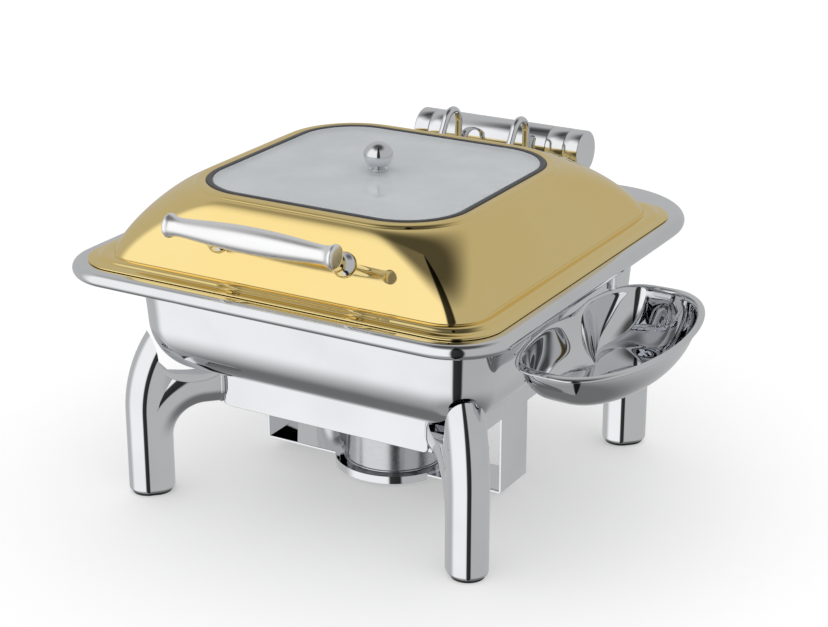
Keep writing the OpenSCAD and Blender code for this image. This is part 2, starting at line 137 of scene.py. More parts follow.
class Shade:
    """A socket that Python arithmetic can be written with."""

    def __init__(self, tree, socket):
        self.tree = tree
        self.socket = socket

    def maths(self, operation, *others):
        """A Math node on this socket and the others."""
        node = self.tree.nodes.new("ShaderNodeMath")
        node.operation = operation
        for place, value in zip(node.inputs, (self, *others)):
            plug(self.tree, value, place)
        return Shade(self.tree, node.outputs[0])

    def __add__(self, other):
        return self.maths("ADD", other)

    def __sub__(self, other):
        return self.maths("SUBTRACT", other)

    def __rsub__(self, other):
        return self.maths("MULTIPLY", -1).maths("ADD", other)

    def __mul__(self, other):
        return self.maths("MULTIPLY", other)

    __radd__ = __add__
    __rmul__ = __mul__

    def step(self, low, high):
        """Smooth rise from 0 at low to 1 at high."""
        node = self.tree.nodes.new("ShaderNodeMapRange")
        node.interpolation_type = "SMOOTHSTEP"
        plug(self.tree, self, node.inputs["Value"])
        node.inputs["From Min"].default_value = low
        node.inputs["From Max"].default_value = high
        return Shade(self.tree, node.outputs["Result"])


def plug(tree, value, place):
    """Links a Shade to a socket, or sets the socket's own value."""
    if isinstance(value, Shade):
        tree.links.new(value.socket, place)
    else:
        place.default_value = value


class Graph:
    """The nodes of one material or world."""

    def __init__(self, tree):
        self.tree = tree

    def node(self, kind, settings=None, inputs=None, output=0):
        """Adds a node with its settings made first, then its sockets; gives one of its outputs."""
        made = self.tree.nodes.new(kind)
        for name, value in (settings or {}).items():
            setattr(made, name, value)
        for name, value in (inputs or {}).items():
            plug(self.tree, value, made.inputs[name])
        return Shade(self.tree, made.outputs[output])

    def spot(self, scale=(1, 1, 1)):
        """Object coordinates, stretched."""
        place = self.node("ShaderNodeTexCoord", output="Object")
        return self.node("ShaderNodeMapping", inputs={"Vector": place, "Scale": scale})

    def noise(self, scale, detail=3.0, stretch=(1, 1, 1)):
        return self.node("ShaderNodeTexNoise",
                         inputs={"Vector": self.spot(stretch), "Scale": scale, "Detail": detail})

    def blend(self, share, first, second):
        """Colour that goes from first to second."""
        mix = self.tree.nodes.new("ShaderNodeMix")
        mix.data_type = "RGBA"
        plug(self.tree, share, mix.inputs[0])
        for place, value in ((mix.inputs[6], first), (mix.inputs[7], second)):
            plug(self.tree, value, place)
        return Shade(self.tree, mix.outputs[2])

    def bump(self, height, distance, strength=1.0):
        return self.node("ShaderNodeBump",
                         inputs={"Height": height, "Distance": distance, "Strength": strength})


def surface(name, constants, varying):
    """New Principled material: constants are set on the shader, varying sockets come from make(graph)."""
    material = bpy.data.materials.new(name)
    material.use_nodes = True
    tree = material.node_tree
    shader = tree.nodes["Principled BSDF"]
    for socket, value in constants.items():
        shader.inputs[socket].default_value = value
    for socket, value in varying(Graph(tree)).items():
        plug(tree, value, shader.inputs[socket])
    return material


def rgba(colour, gain=1.0):
    return (*[min(1.0, c * gain) for c in colour], 1.0)


def polished_steel(colour):
    """Mirror polish with faint wipe marks."""
    def varying(g):
        smear = g.noise(14.0, 4.0).step(0.42, 0.72)
        fine = g.noise(900.0, 2.0)
        return {"Base Color": g.blend(smear, rgba(colour), rgba(colour, 0.95)),
                "Roughness": smear * 0.016 + fine * 0.01 + 0.01,
                "Normal": g.bump(g.noise(60.0, 2.0), 0.00003, 0.25)}
    return surface("polished_steel", {"Metallic": 1.0}, varying)


def brushed_steel(name, colour, stretch, rough, depth=0.5):
    """Fine straight brush lines along one axis."""
    def varying(g):
        lines = g.noise(700.0, 3.0, stretch)
        cloud = g.noise(12.0, 3.0)
        return {"Base Color": g.blend(lines, rgba(colour, 1 - 0.24 * depth), rgba(colour, 1.06)),
                "Roughness": lines * 0.12 + cloud * 0.06 + rough,
                "Normal": g.bump(lines, 0.00004, depth)}
    return surface(name, {"Metallic": 1.0}, varying)


def gold_coating(colour):
    """Mirror gold: the coat is a touch paler where it is thin."""
    def varying(g):
        thin = g.noise(9.0, 3.0).step(0.35, 0.75)
        fine = g.noise(850.0, 2.0)
        paler = (colour[0], colour[1] * 1.03, colour[2] * 1.12)
        return {"Base Color": g.blend(thin, rgba(colour), rgba(paler)),
                "Roughness": thin * 0.01 + fine * 0.01 + 0.01,
                "Normal": g.bump(g.noise(50.0, 2.0), 0.00003, 0.25)}
    return surface("gold_coating", {"Metallic": 1.0}, varying)


def soft_seal(name, colour, rough):
    """Moulded rubber or plastic with a fine grain."""
    def varying(g):
        grain = g.noise(1400.0, 3.0)
        dust = g.noise(70.0, 3.0).step(0.5, 0.85)
        dusty = [c + 0.03 for c in colour]
        return {"Base Color": g.blend(dust, rgba(colour), rgba(dusty)),
                "Roughness": grain * 0.15 + dust * 0.1 + rough,
                "Normal": g.bump(grain, 0.00005, 0.6)}
    return surface(name, {"Metallic": 0.0, "Specular IOR Level": 0.45}, varying)


def painted_reflection_glass(colour):
    """Tempered glass with a light veil of smears, on a light grey, partly opaque sheet that is a painted
    reflection of the bright room.
    """
    def varying(g):
        veil = g.noise(16.0, 4.0).step(0.30, 0.90)
        return {"Base Color": g.blend(veil, rgba(colour), rgba(colour, 1.06)),
                "Roughness": veil * 0.03 + 0.02,
                # An alpha near 0.6 keeps the light grey sheet partly opaque: painted reflection, with the
                # smears adding a little more
                "Alpha": veil * 0.06 + 0.58}
    return surface("painted_reflection_glass", {"Metallic": 0.0, "IOR": 1.5, "Specular IOR Level": 0.6}, varying)


MATERIALS = {}


def finishes():
    """The materials, made once, under their slot names."""
    if not MATERIALS:
        c = bpy.context.scene.chafer_finish
        MATERIALS.update(
            polished_steel=polished_steel(c.steel),
            plain_steel=brushed_steel("plain_steel", c.brushed, (0.04, 1, 1), 0.14),
            satin_steel=brushed_steel("satin_steel", c.satin, (0.05, 1, 1), 0.22, 0.15),
            gold=gold_coating(c.gold),
            seal=soft_seal("window_seal", c.seal, 0.30),
            black_pad=soft_seal("black_pad", c.pads, 0.42),
            glass=painted_reflection_glass(c.glass))
    return MATERIALS


# ---------------------------------------------------------------- shapes

def rounded(hx, front, back, r_front, r_back, z, arc=14, straight=10):
    """Points of a rounded rectangle, anticlockwise from the right side's front corner."""
    corners = [(hx - r_front, -front + r_front, r_front, -90), (hx - r_back, back - r_back, r_back, 0),
               (-hx + r_back, back - r_back, r_back, 90), (-hx + r_front, -front + r_front, r_front, 180)]
    arcs = []
    for x, y, r, start in corners:
        turn = [math.radians(start + 90 * i / arc) for i in range(arc + 1)]
        arcs.append([Vector((x + r * math.cos(a), y + r * math.sin(a), z)) for a in turn])
    points = []
    for i, part in enumerate(arcs):
        following = arcs[(i + 1) % 4][0]
        points += part
        points += [part[-1].lerp(following, k / straight) for k in range(1, straight)]
    return points


def loft(rings, closed=False):
    """Skin through rings of equal length, drawn out of a circle one ring at a time."""
    bm = bmesh.new()
    bmesh.ops.create_circle(bm, cap_ends=False, segments=len(rings[0]), radius=1.0)
    current = list(bm.verts)
    for vert, point in zip(current, rings[0]):
        vert.co = point
    edges = list(bm.edges)
    if not closed:
        bmesh.ops.contextual_create(bm, geom=edges)
    for ring in list(rings[1:]) + ([rings[0]] if closed else []):
        made = bmesh.ops.extrude_edge_only(bm, edges=edges)["geom"]
        fresh = {v for v in made if isinstance(v, bmesh.types.BMVert)}
        edges = [e for e in made if isinstance(e, bmesh.types.BMEdge) and set(e.verts) <= fresh]
        current = [next(e.other_vert(v) for e in v.link_edges if e.other_vert(v) in fresh) for v in current]
        for vert, point in zip(current, ring):
            vert.co = point
    if closed:
        bmesh.ops.remove_doubles(bm, verts=bm.verts, dist=0.001)
    else:
        bmesh.ops.contextual_create(bm, geom=edges)
    bmesh.ops.recalc_face_normals(bm, faces=bm.faces)
    return bm


def turned(profile, segments=None):
    """Closed or open profile of (radius, height) spun round Z."""
    bm = bmesh.new()
    verts = [bm.verts.new((r, 0.0, h)) for r, h in profile]
    edges = [bm.edges.new(pair) for pair in zip(verts, verts[1:])]
    steps = segments or bpy.context.scene.chafer_stage.segments
    bmesh.ops.spin(bm, geom=verts + edges, cent=(0, 0, 0), axis=(0, 0, 1), angle=math.tau,
                   steps=steps, use_merge=True, use_duplicate=False)
    bmesh.ops.remove_doubles(bm, verts=bm.verts, dist=0.001)
    bmesh.ops.recalc_face_normals(bm, faces=bm.faces)
    return bm


def ring_round(profile, segments=None):
    """Closed profile, such as a pipe's wall, spun round Z."""
    return turned(list(profile) + [profile[0]], segments)


def moved(bm, *matrices):
    """Applies the matrices, first one first."""
    for matrix in matrices:
        bmesh.ops.transform(bm, matrix=matrix, verts=bm.verts)
    if any(m.to_3x3().determinant() < 0 for m in matrices):
        bmesh.ops.recalc_face_normals(bm, faces=bm.faces)
    return bm


def along_x(x, y, z):
    """Takes +Z to +X and the origin to a point."""
    return Matrix.Translation((x, y, z)) @ Matrix.Rotation(math.pi / 2, 4, "Y")


def mirrored(place):
    sx, sy = PLACES[place]
    return Matrix.Diagonal((sx, sy, 1, 1))


def carved(base, operations):
    """Cuts or joins closed shapes; operations are (kind, bmesh) pairs."""
    def hold(bm, name):
        mesh = bpy.data.meshes.new(name)
        bm.to_mesh(mesh)
        bm.free()
        obj = bpy.data.objects.new(name, mesh)
        bpy.context.scene.collection.objects.link(obj)
        return obj

    work = hold(base, "work")
    tools = [hold(bm, "tool") for _, bm in operations]
    for (kind, _), tool in zip(operations, tools):
        step = work.modifiers.new(kind, "BOOLEAN")
        step.operation = kind
        step.solver = "EXACT"
        step.object = tool
    result = bmesh.new()
    result.from_object(work, bpy.context.evaluated_depsgraph_get())
    for obj in [work, *tools]:
        mesh = obj.data
        bpy.data.objects.remove(obj)
        bpy.data.meshes.remove(mesh)
    bmesh.ops.remove_doubles(result, verts=result.verts, dist=0.0005)
    bmesh.ops.dissolve_degenerate(result, edges=result.edges, dist=0.0005)
    return result


def copied(node):
    """A CAD node's own shape, its triangles merged into whole faces, in millimetres."""
    bm = bmesh.new()
    bm.from_mesh(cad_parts[node].data)
    bmesh.ops.scale(bm, vec=(1000, 1000, 1000), verts=bm.verts)
    bmesh.ops.remove_doubles(bm, verts=bm.verts, dist=0.002)
    bmesh.ops.dissolve_limit(bm, angle_limit=math.radians(0.5), verts=bm.verts, edges=bm.edges)
    return bm


def publish(name, bm, body, slot, nodes, crease=32.0, bevel=0.0, subdivide=0):
    """Turns a bmesh in millimetres into a finished piece that rides on a body."""
    bmesh.ops.scale(bm, vec=(MM, MM, MM), verts=bm.verts)
    mesh = bpy.data.meshes.new(name)
    bm.to_mesh(mesh)
    bm.free()
    for face in mesh.polygons:
        face.use_smooth = True
    if subdivide == 0:
        mesh.set_sharp_from_angle(angle=math.radians(crease))
    piece = bpy.data.objects.new(name, mesh)
    bpy.context.scene.collection.objects.link(piece)
    mesh.materials.append(finishes()[slot])
    if bevel:
        edge = piece.modifiers.new("edges", "BEVEL")
        edge.width = bevel * MM
        edge.segments = 3
        edge.limit_method = "ANGLE"
        edge.angle_limit = math.radians(crease)
        edge.harden_normals = True
    if subdivide:
        smooth = piece.modifiers.new("smooth", "SUBSURF")
        smooth.levels = smooth.render_levels = subdivide
    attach(piece, body)
    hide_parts(*nodes)
    return piece


# ---------------------------------------------------------------- stand

def oval(grow=0.0, segments=96):
    """The leg tube's section: two half circles with a short straight between them."""
    shift = (LEG_LONG - LEG_SHORT) / 2
    r = LEG_SHORT / 2 + grow
    points = []
    for i in range(segments):
        a = math.tau * (i + 0.5) / segments
        points.append((r * math.cos(a) + math.copysign(shift, math.cos(a)), r * math.sin(a)))
    return points


def stations(path, grow=0.0):
    """Rings of the oval along a path of (inward, height, tilt in degrees, extra growth)."""
    rings = []
    for s, z, tilt, extra in path:
        t = math.radians(tilt)
        rings.append([Vector((s + u * math.cos(t), v, z + u * math.sin(t))) for u, v in oval(grow + extra)])
    return rings


def leg_tube():
    half = LEG_LONG / 2
    bow = 147.0 - half
    path = [(0, 3.0, 0, -2.6), (0, 3.5, 0, -1.5), (0, 4.6, 0, -0.5), (0, 6.4, 0, 0)]
    path += [(0, 7 + 81 * i / 8, 0, 0) for i in range(9)]
    for i in range(1, 20):
        a = 2.0 * i
        t = math.radians(a)
        path.append((bow - bow * math.cos(t), 88 + bow * math.sin(t), -a, 0))
    return loft(stations(path))


def neck_tube(start=0, end=70.0):
    """The bend at the leg's foot side and the neck that runs in to the frame."""
    half = LEG_LONG / 2
    bend = 33.0 + half
    path = []
    for i in range(start, 37):
        a = 2.5 * i
        t = math.radians(a)
        path.append((bend - bend * math.cos(t), RAIL_Z - 33 + bend * math.sin(t), -a, 0))
    path.append((end, RAIL_Z + half, -90, 0))
    return loft(stations(path))


def pan_space():
    """Room for the pan's corner, in the front left corner's own place."""
    r = PAN["corner"] + 0.5
    low, arch_z, arch_up = r - PAN_TAPER, 115.3, 30.0
    curve = [(low * math.sin(math.radians(a)), arch_z + arch_up * (1 - math.cos(math.radians(a))))
             for a in range(3, 91, 3)]
    dome = turned([(0, arch_z)] + curve + [(r, RIM_Z), (0, RIM_Z)], 192)
    return moved(dome, Matrix.Translation((PAN["corner"] - PAN["hx"], PAN["corner"] - PAN["front"], 0)))


def to_corner():
    """From the leg's own place, +X inwards, to the front left corner."""
    return Matrix.Translation((*FOOT, 0)) @ Matrix.Rotation(math.pi / 4, 4, "Z")


def make_leg(place):
    tube = moved(leg_tube(), to_corner())
    neck = moved(neck_tube(), to_corner())
    whole = carved(tube, [("UNION", neck), ("DIFFERENCE", pan_space())])
    publish("leg_piece_" + place, moved(whole, mirrored(place)), "stand", "polished_steel",
            ["leg_" + place], crease=28)


def make_foot(place):
    rings = stations([(0, 0.0, 0, -4.2), (0, 0.4, 0, -3.4), (0, 1.2, 0, -3.0), (0, 3.0, 0, -3.0)])
    publish("foot_pad_" + place, moved(loft(rings), to_corner(), mirrored(place)), "stand", "black_pad",
            ["foot_" + place], crease=40)


def make_collar(place):
    half = LEG_LONG / 2
    flat = stations([(70.0, RAIL_Z + half, -90, 0.4), (70.6, RAIL_Z + half, -90, 1),
                     (73.4, RAIL_Z + half, -90, 1), (74.0, RAIL_Z + half, -90, 0.4)])
    ring = carved(moved(loft(flat), to_corner()), [("DIFFERENCE", pan_space())])
    publish("collar_piece_" + place, moved(ring, mirrored(place)), "stand", "polished_steel",
            ["collar_" + place], crease=30)


# ---------------------------------------------------------------- pans

def pan_ring(d, z):
    r = PAN["corner"] - PAN["shrink"] * d
    return rounded(PAN["hx"] - d, PAN["front"] - d, PAN["back"] - d, r, r, z)


def rim_ring(d, z):
    return rounded(235.0 - d, 250.0 - d, 262.0 - d, 60.0 - d, 102.0 - d, z)


def make_water_pan():
    low = PAN_BASE + ROUND_UP
    steps = 14
    turns = [math.radians(90 * i / steps) for i in range(steps + 1)]
    outer = [pan_ring(d, PAN_BASE) for d in (110, 80, 60)]
    outer += [pan_ring(PAN_TAPER + ROUND_IN * (1 - math.sin(a)), low - ROUND_UP * math.cos(a)) for a in turns]
    outer += [pan_ring(PAN_TAPER * (1 - i / 5), low + (RIM_Z - 6 - low) * i / 5) for i in range(1, 6)]
    outer += [pan_ring(-1.2, RIM_Z - 3.4), pan_ring(-4, RIM_Z - PAN_T)]
    roll = [rim_ring(18, RIM_Z - PAN_T)]
    for i in range(17):
        a = math.radians(-62 + 152 * i / 16)
        roll.append(rim_ring(7 - 7 * math.cos(a), RIM_Z - 7 + 7 * math.sin(a)))
    inner = [rim_ring(13, RIM_Z), pan_ring(-3, RIM_Z), pan_ring(-0.4, RIM_Z - 0.8),
             pan_ring(PAN_T, RIM_Z - 6)]
    inner += [pan_ring(PAN_T + PAN_TAPER + (ROUND_IN - PAN_T) * (1 - math.sin(a)),
                       low - (ROUND_UP - PAN_T) * math.cos(a)) for a in reversed(turns)]
    inner += [pan_ring(d, PAN_BASE + PAN_T) for d in (80, 110)]
    publish("water_pan_piece", loft(outer + roll + inner), "stand", "polished_steel", ["water_pan"],
            subdivide=1)


def make_food_pan():
    t, low = 1.0, RIM_Z - 65
    outside = [pan_ring(90, low), pan_ring(40, low), pan_ring(34, low + 0.2), pan_ring(28, low + 1.4),
               pan_ring(24, low + 4), pan_ring(21, low + 9), pan_ring(18, low + 22), pan_ring(14, low + 42),
               pan_ring(11, RIM_Z - 6), pan_ring(9.5, RIM_Z - 1.4), pan_ring(7.5, RIM_Z)]
    edge = [pan_ring(-6.0, RIM_Z + 0.02), pan_ring(-6.9, RIM_Z + 0.4), pan_ring(-6.6, RIM_Z + t),
            pan_ring(6, RIM_Z + t)]
    inside = [pan_ring(9.5, RIM_Z + 0.2), pan_ring(12, RIM_Z - 6), pan_ring(15, low + 42),
              pan_ring(19, low + 22), pan_ring(22, low + 9.5), pan_ring(25, low + 5),
              pan_ring(29, low + 2.4), pan_ring(34, low + 1.2), pan_ring(40, low + t),
              pan_ring(90, low + t)]
    publish("food_pan_piece", loft(outside + edge + inside), "stand", "plain_steel", ["food_pan"],
            subdivide=1)


# ---------------------------------------------------------------- lid

def flange_ring(d, z):
    r = 47 - d * 0.5
    return rounded(220.7 - d, 235.2 - d, 208.0 - d, r, r, z)


def window_ring(d, z):
    w = WINDOW
    return rounded(w["hx"] + d, w["front"] + d, w["back"] + d, w["corner"] + d, w["corner"] + d, z)


def dome_ring(share, z, inset=0.0):
    """Outline part of the way from the dome's foot (0) to the window's border (1)."""
    margin = bpy.context.scene.chafer_lid.border / MM
    w = WINDOW
    foot = (199.6, 213.8, 186.0, 36.0)
    top = (w["hx"] + margin, w["front"] + margin, w["back"] + margin, w["corner"] + margin)
    hx, front, back, r = [a + (b - a) * share - inset for a, b in zip(foot, top)]
    return rounded(hx, front, back, r, r, z)


def make_lid_shell():
    sizes = bpy.context.scene.chafer_lid
    power = 2 / sizes.shoulder
    t = sizes.sheet / MM
    base, foot_z, top_z = RIM_Z + 0.3, RIM_Z + 5.4, GLASS_Z - 3
    steps = 30
    turns = [math.radians(90 * i / steps) for i in range(steps + 1)]
    rise = top_z - foot_z
    flange = [(0.5, 0), (0, 0.35), (0, 1.1), (0.6, 1.7), (3, 2.2), (7, 2.5), (8.8, 3.2), (9.8, 4.4),
              (11, 5.6),
              (13, 6.2), (15.5, 6.4), (18, 6.2), (19.5, 5.6), (20.6, 5.1)]
    outer = [flange_ring(d, base + z) for d, z in flange]
    outer += [dome_ring(1 - math.cos(a) ** power, foot_z + rise * math.sin(a) ** power) for a in turns[1:-1]]
    border = [(15, 0), (13.6, 0.25), (12.8, 1.0), (12.0, 1.9), (10.6, 2.7), (8.6, 3.3), (6.4, 3.5),
              (4.8, 3.4),
              (4.3, 2.9), (3.7, 2.9), (3.2, 3.3), (2.0, 3.2), (1.2, 2.7), (1.0, 1.6)]
    outer += [window_ring(d, top_z + z) for d, z in border]
    under = [window_ring(1, top_z - t + 0.3), window_ring(1.4, top_z - t), window_ring(12, top_z - t)]
    under += [dome_ring(1 - math.cos(a) ** power, foot_z - t + (rise - 0.2) * math.sin(a) ** power, t)
              for a in reversed(turns[1:-1])]
    under += [flange_ring(21.5, base + 3.6), flange_ring(16, base + 4.4), flange_ring(12, base + 3.4),
              flange_ring(10.8, base + 1.6), flange_ring(10.5, base)]
    publish("lid_dome", loft(outer + under, closed=True), "lid", "gold", ["lid_shell"], subdivide=1)


def make_gasket():
    low = GLASS_Z - 4.4
    profile = [(0.9, 0), (0.9, 4.4), (0.5, 4.95), (-0.4, 5.2), (-3.2, 5.2), (-4.5, 4.95), (-5, 4.3), (-5, 0)]
    publish("window_seal", loft([window_ring(d, low + z) for d, z in profile], closed=True), "lid", "seal",
            ["window_gasket"], crease=50)


def make_glass():
    """Flat pane with a hole for the knob's screw."""
    rings = [window_ring(-5, GLASS_Z - 4), window_ring(-5, GLASS_Z - 0.5), window_ring(-5.5, GLASS_Z)]
    count = len(rings[0])
    hub = [Vector((0, KNOB_Y, GLASS_Z))] * count
    def hole(r, z):
        return [Vector((r * math.cos(a), KNOB_Y + r * math.sin(a), z)) for a in spokes]
    spokes = [math.atan2(p.y - KNOB_Y, p.x) for p in rings[0]]
    rings.append([p.lerp(h, 0.5) for p, h in zip(rings[2], hub)])
    rings += [hole(12, GLASS_Z), hole(4, GLASS_Z), hole(4, GLASS_Z - 4)]
    publish("window_glass_pane", loft(rings, closed=True), "lid", "glass", ["window_glass"], crease=40)


def make_knob():
    ball = [(0, 0.0), (8.6, 0.0), (9, 0.4), (9, 1.6), (8.6, 2.0), (5.6, 2.3), (5.0, 3.0), (4.9, 3.6)]
    for i in range(1, 41):
        a = math.radians(-78 + 168 * i / 40)
        ball.append((14.6 * math.cos(a), 15 + 13.2 * math.sin(a)))
    ball[-1] = (0, 28.2)
    knob = moved(turned(ball), Matrix.Translation((0, KNOB_Y, GLASS_Z)))
    publish("window_knob_ball", knob, "lid", "polished_steel", ["window_knob"], crease=40)
    publish("knob_nut_piece", copied("knob_nut"), "lid", "plain_steel", ["knob_nut"], bevel=0.4)


def make_handle():
    """Grip, thicker in the middle, that flares like a trumpet at both ends."""
    sizes = bpy.context.scene.chafer_handle
    half, waist, belly = sizes.half / MM, sizes.waist / MM, sizes.belly / MM
    flare, steps = half - 4, 48
    body = []
    for i in range(steps + 1):
        share = i / steps
        radius = waist + belly * max(0.0, math.cos(math.pi / 2 * share)) ** 1.2
        body.append((radius + 3.6 * math.exp(-flare * (1 - share) / 4.5), flare * share))
    side = body[1:] + [(11.6, half - 2.8), (11.4, half - 1.6), (10.7, half - 0.6), (9.4, half - 0.1),
                       (7.5, half), (0, half)]
    profile = [(r, -h) for r, h in reversed(side)] + [body[0]] + side
    grip = moved(turned(profile), along_x(0, -GRIP_Y, GRIP_Z))
    publish("handle_bar", grip, "lid", "satin_steel", ["handle_grip"], crease=50)


def make_handle_post(side):
    """Short post with a broad cupped foot on the dome."""
    s = -1 if side == "left" else 1
    foot = [(0, 0), (11.6, 0), (12, 0.4), (12, 1.6), (11.7, 2.4), (10.6, 3.8), (9.0, 5.4), (7.4, 7.2),
            (6.4, 9.2), (6, 11)]
    post = [(r, POST_FOOT + h) for r, h in foot] + [(6, -8), (5.6, -6.5), (0, -6.5)]
    turn = Matrix.Rotation(math.radians(POST_LEAN), 4, "X")
    place = Matrix.Translation((s * POST_X, -GRIP_Y, GRIP_Z)) @ turn
    publish("handle_stem_" + side, moved(turned(post), place), "lid", "polished_steel",
            ["handle_post_" + side], crease=38)


def make_arm(side):
    """Bent rod from the lid's flange over to the dome, in front of the barrel."""
    s = -1 if side == "left" else 1
    y, _, r = BARREL
    back, bow, top, lean, reach, rod = y - r - 4, 15.0, 312.0, 32.0, 31.0, 4.0
    path = [(back, top - 50 + i * 10, 0.0) for i in range(5)]
    for i in range(0, 25):
        a = math.radians((180 - lean) * i / 24)
        path.append((back - bow + bow * math.cos(a), top + bow * math.sin(a), a))
    end_y, end_z, a = path[-1]
    for i in range(1, 5):
        path.append((end_y - math.sin(a) * reach * i / 4, end_z + math.cos(a) * reach * i / 4, a))
    rings = []
    for py, pz, a in path:
        rings.append([Vector((s * ARM_X + rod * math.sin(k), py + rod * math.cos(k) * math.cos(a),
                              pz + rod * math.cos(k) * math.sin(a)))
                      for k in [math.tau * j / 32 for j in range(32)]])
    publish("lid_arm_rod_" + side, loft(rings), "lid", "polished_steel", ["lid_arm_" + side], crease=50)


# ---------------------------------------------------------------- hinge

def barrel_piece(name, x0, profile, body, nodes, slot="polished_steel"):
    """Turned piece on the barrel's axis; profile is (radius, distance from x0)."""
    y, z, _ = BARREL
    shape = moved(turned(profile), along_x(x0, y, z)) if profile[0][0] == 0 else \
        moved(ring_round(profile), along_x(x0, y, z))
    return publish(name, shape, body, slot, nodes, crease=40)


def pipe(outer, inner, length, soft=0.6):
    return [(inner, soft * 0.5), (inner + soft * 0.5, 0), (outer - soft, 0), (outer - soft * 0.3, soft * 0.3),
            (outer, soft), (outer, length - soft), (outer - soft * 0.3, length - soft * 0.3),
            (outer - soft, length), (inner + soft * 0.5, length), (inner, length - soft * 0.5)]


def make_barrel():
    r = BARREL[2]
    barrel_piece("hinge_sleeve_tube", -SLEEVE_END, pipe(r, r - 3, 2 * SLEEVE_END), "lid",
                 ["hinge_sleeve"])
    for side, x0 in (("left", -RING_END), ("right", RING_START)):
        barrel_piece("hinge_ring_band_" + side, x0, pipe(r, 5, RING_LENGTH), "stand",
                     ["hinge_ring_" + side])
    wide = CAP_END - RING_END - GAP
    cap = [(5, 0.2), (5.3, 0), (r - 0.6, 0), (r - 0.2, 0.2), (r, 0.6)]
    turns = [math.radians(a) for a in range(0, 91, 15)]
    cap += [(r - 2 + 2 * math.cos(a), wide - 2 + 2 * math.sin(a)) for a in turns]
    cap += [(r - 6, wide), (0.0, wide), (0.0, 8), (5, 8)]
    for side, turn in (("right", 1), ("left", -1)):
        outward = Matrix.Rotation(turn * math.pi / 2, 4, "Y")
        place = Matrix.Translation((turn * CAP_START, BARREL[0], BARREL[1])) @ outward
        publish("hinge_end_cap_" + side, moved(ring_round(cap), place), "stand", "polished_steel",
                ["hinge_cap_" + side], crease=40)
    pin = [(0, 0), (4.6, 0), (5, 0.4), (5, PIN_LENGTH - 0.4), (4.6, PIN_LENGTH), (0, PIN_LENGTH)]
    barrel_piece("hinge_pin", -PIN_LENGTH / 2, pin, "stand", ["hinge_axle"], "plain_steel")
    barrel_piece("hinge_damper_core", -DAMPER_LENGTH / 2, pipe(r - 3.3, 5, DAMPER_LENGTH), "stand",
                 ["hinge_damper"], "plain_steel")


# ---------------------------------------------------------------- burner

def make_fuel_cup():
    z, r, h = PLATE_Z + 1.8, 49.0, 62.0
    cup = [(0, 0), (r + 2.6, 0), (r + 3, 0.4), (r + 2.6, 1.2), (r + 0.6, 1.3), (r, 2.2), (r, h - 2.4),
           (r + 1.6, h - 2.0), (r + 2, h - 1.2), (r + 1.6, h - 0.3), (r + 0.6, h), (r - 0.9, h),
           (r - 1.5, h - 0.6), (r - 1.5, 2.6), (r - 2.6, 1.5), (0, 1.5)]
    publish("fuel_cup_can", moved(turned(cup), Matrix.Translation((0, 0, z))), "fuel_holder", "plain_steel",
            ["fuel_cup"], crease=40)


# ---------------------------------------------------------------- side bowl

def bowl_ring(k, z, waist):
    """Outline of the bowl: a long oval, squarer on the pan's side, with a waist there."""
    points = []
    for i in range(112):
        a = math.tau * i / 112
        c = math.cos(a)
        x = BOWL_HALF_X * (-abs(c) ** 0.45 if c < 0 else abs(c) ** 0.95)
        y = BOWL_HALF_Y * math.sin(a)
        bulge = waist * math.exp(-((y - 22) / 34) ** 2) * -x / BOWL_HALF_X if x < 0 else 0.0
        points.append(Vector((BOWL_X + (x + bulge) * k - 14 * (1 - k), BOWL_Y + y * k - 4 * (1 - k),
                              BOWL_Z + z)))
    return points


def make_bowl():
    sizes = bpy.context.scene.chafer_bowl
    depth, waist = sizes.depth / MM, sizes.waist / MM
    n = 16
    turns = [math.radians(90 * i / n) for i in range(n + 1)]
    def deeper(a):
        return waist + 17.0 * max(0.0, math.cos(a)) ** 0.8
    outer = [bowl_ring(k, -depth, deeper(0)) for k in (0.15, 0.3, 0.42)]
    outer += [bowl_ring(0.48 + 0.46 * math.sin(a) ** 0.9, -depth * math.cos(a) ** 1.2, deeper(a))
              for a in turns]
    lip = [(0.955, -0.9), (0.968, -1.9), (0.985, -2.4), (0.996, -2.0), (1.0, -1.2), (0.997, -0.3),
           (0.985, 0.6), (0.965, 1.35), (0.945, 1.65), (0.93, 1.3)]
    outer += [bowl_ring(k, z, waist) for k, z in lip]
    inner = [bowl_ring(0.465 + 0.45 * math.sin(a) ** 0.9, -depth * math.cos(a) ** 1.2 + 1.5, deeper(a))
             for a in reversed(turns[:-1])]
    inner += [bowl_ring(k, -depth + 1.5, deeper(0)) for k in (0.42, 0.3, 0.15)]
    publish("side_bowl_shell", loft(outer + inner), "bowl", "polished_steel", ["side_bowl"], subdivide=1)


def make_bowl_post():
    low, high = BOWL_Z + 2.1, RIM_Z - PAN_T
    post = [(0, low), (4.5, low), (5, low + 0.5), (5, high - 4.5), (5.4, high - 3.6), (6.4, high - 3.0),
            (7, high - 2.2), (7, high), (0, high)]
    publish("bowl_hanger", moved(turned(post), Matrix.Translation((208, 66, 0))), "stand", "polished_steel",
            ["bowl_post"], crease=40)


# ---------------------------------------------------------------- stage

# The studio as polished metal sees it: a dim room, darker overhead and underfoot, with one broad
# soft box before the handle's side and one dark flag beside it. Heights and bearings are in
# degrees, and a bearing is counted from the handle's side towards the side bowl.
DOME_LIGHT, OVERHEAD_LIGHT, LOW_LIGHT = 1.05, 0.15, 0.35
ROOM_SHARE = 0.5
BOX_BEARING, BOX_FULL, BOX_EDGE = -20, 30, 60
OVERHEAD_FROM, OVERHEAD_FULL = 45, 75
LOW_FROM, LOW_FULL = -25, -60
FLAG_BEARING, FLAG_HALF_WIDTH, FLAG_EDGE = 32, 12, 3
FLAG_LIGHT = 0.05
FLOOR_LIGHT = 1.08
FLOOR_DARK, FLOOR_PALE, FLOOR_GLOW = 0.66, 0.68, 0.34
CAMERA_PLACE, CAMERA_TURN, CAMERA_DOWN = (0.973, -1.645, 0.889), 30.0, 20.72


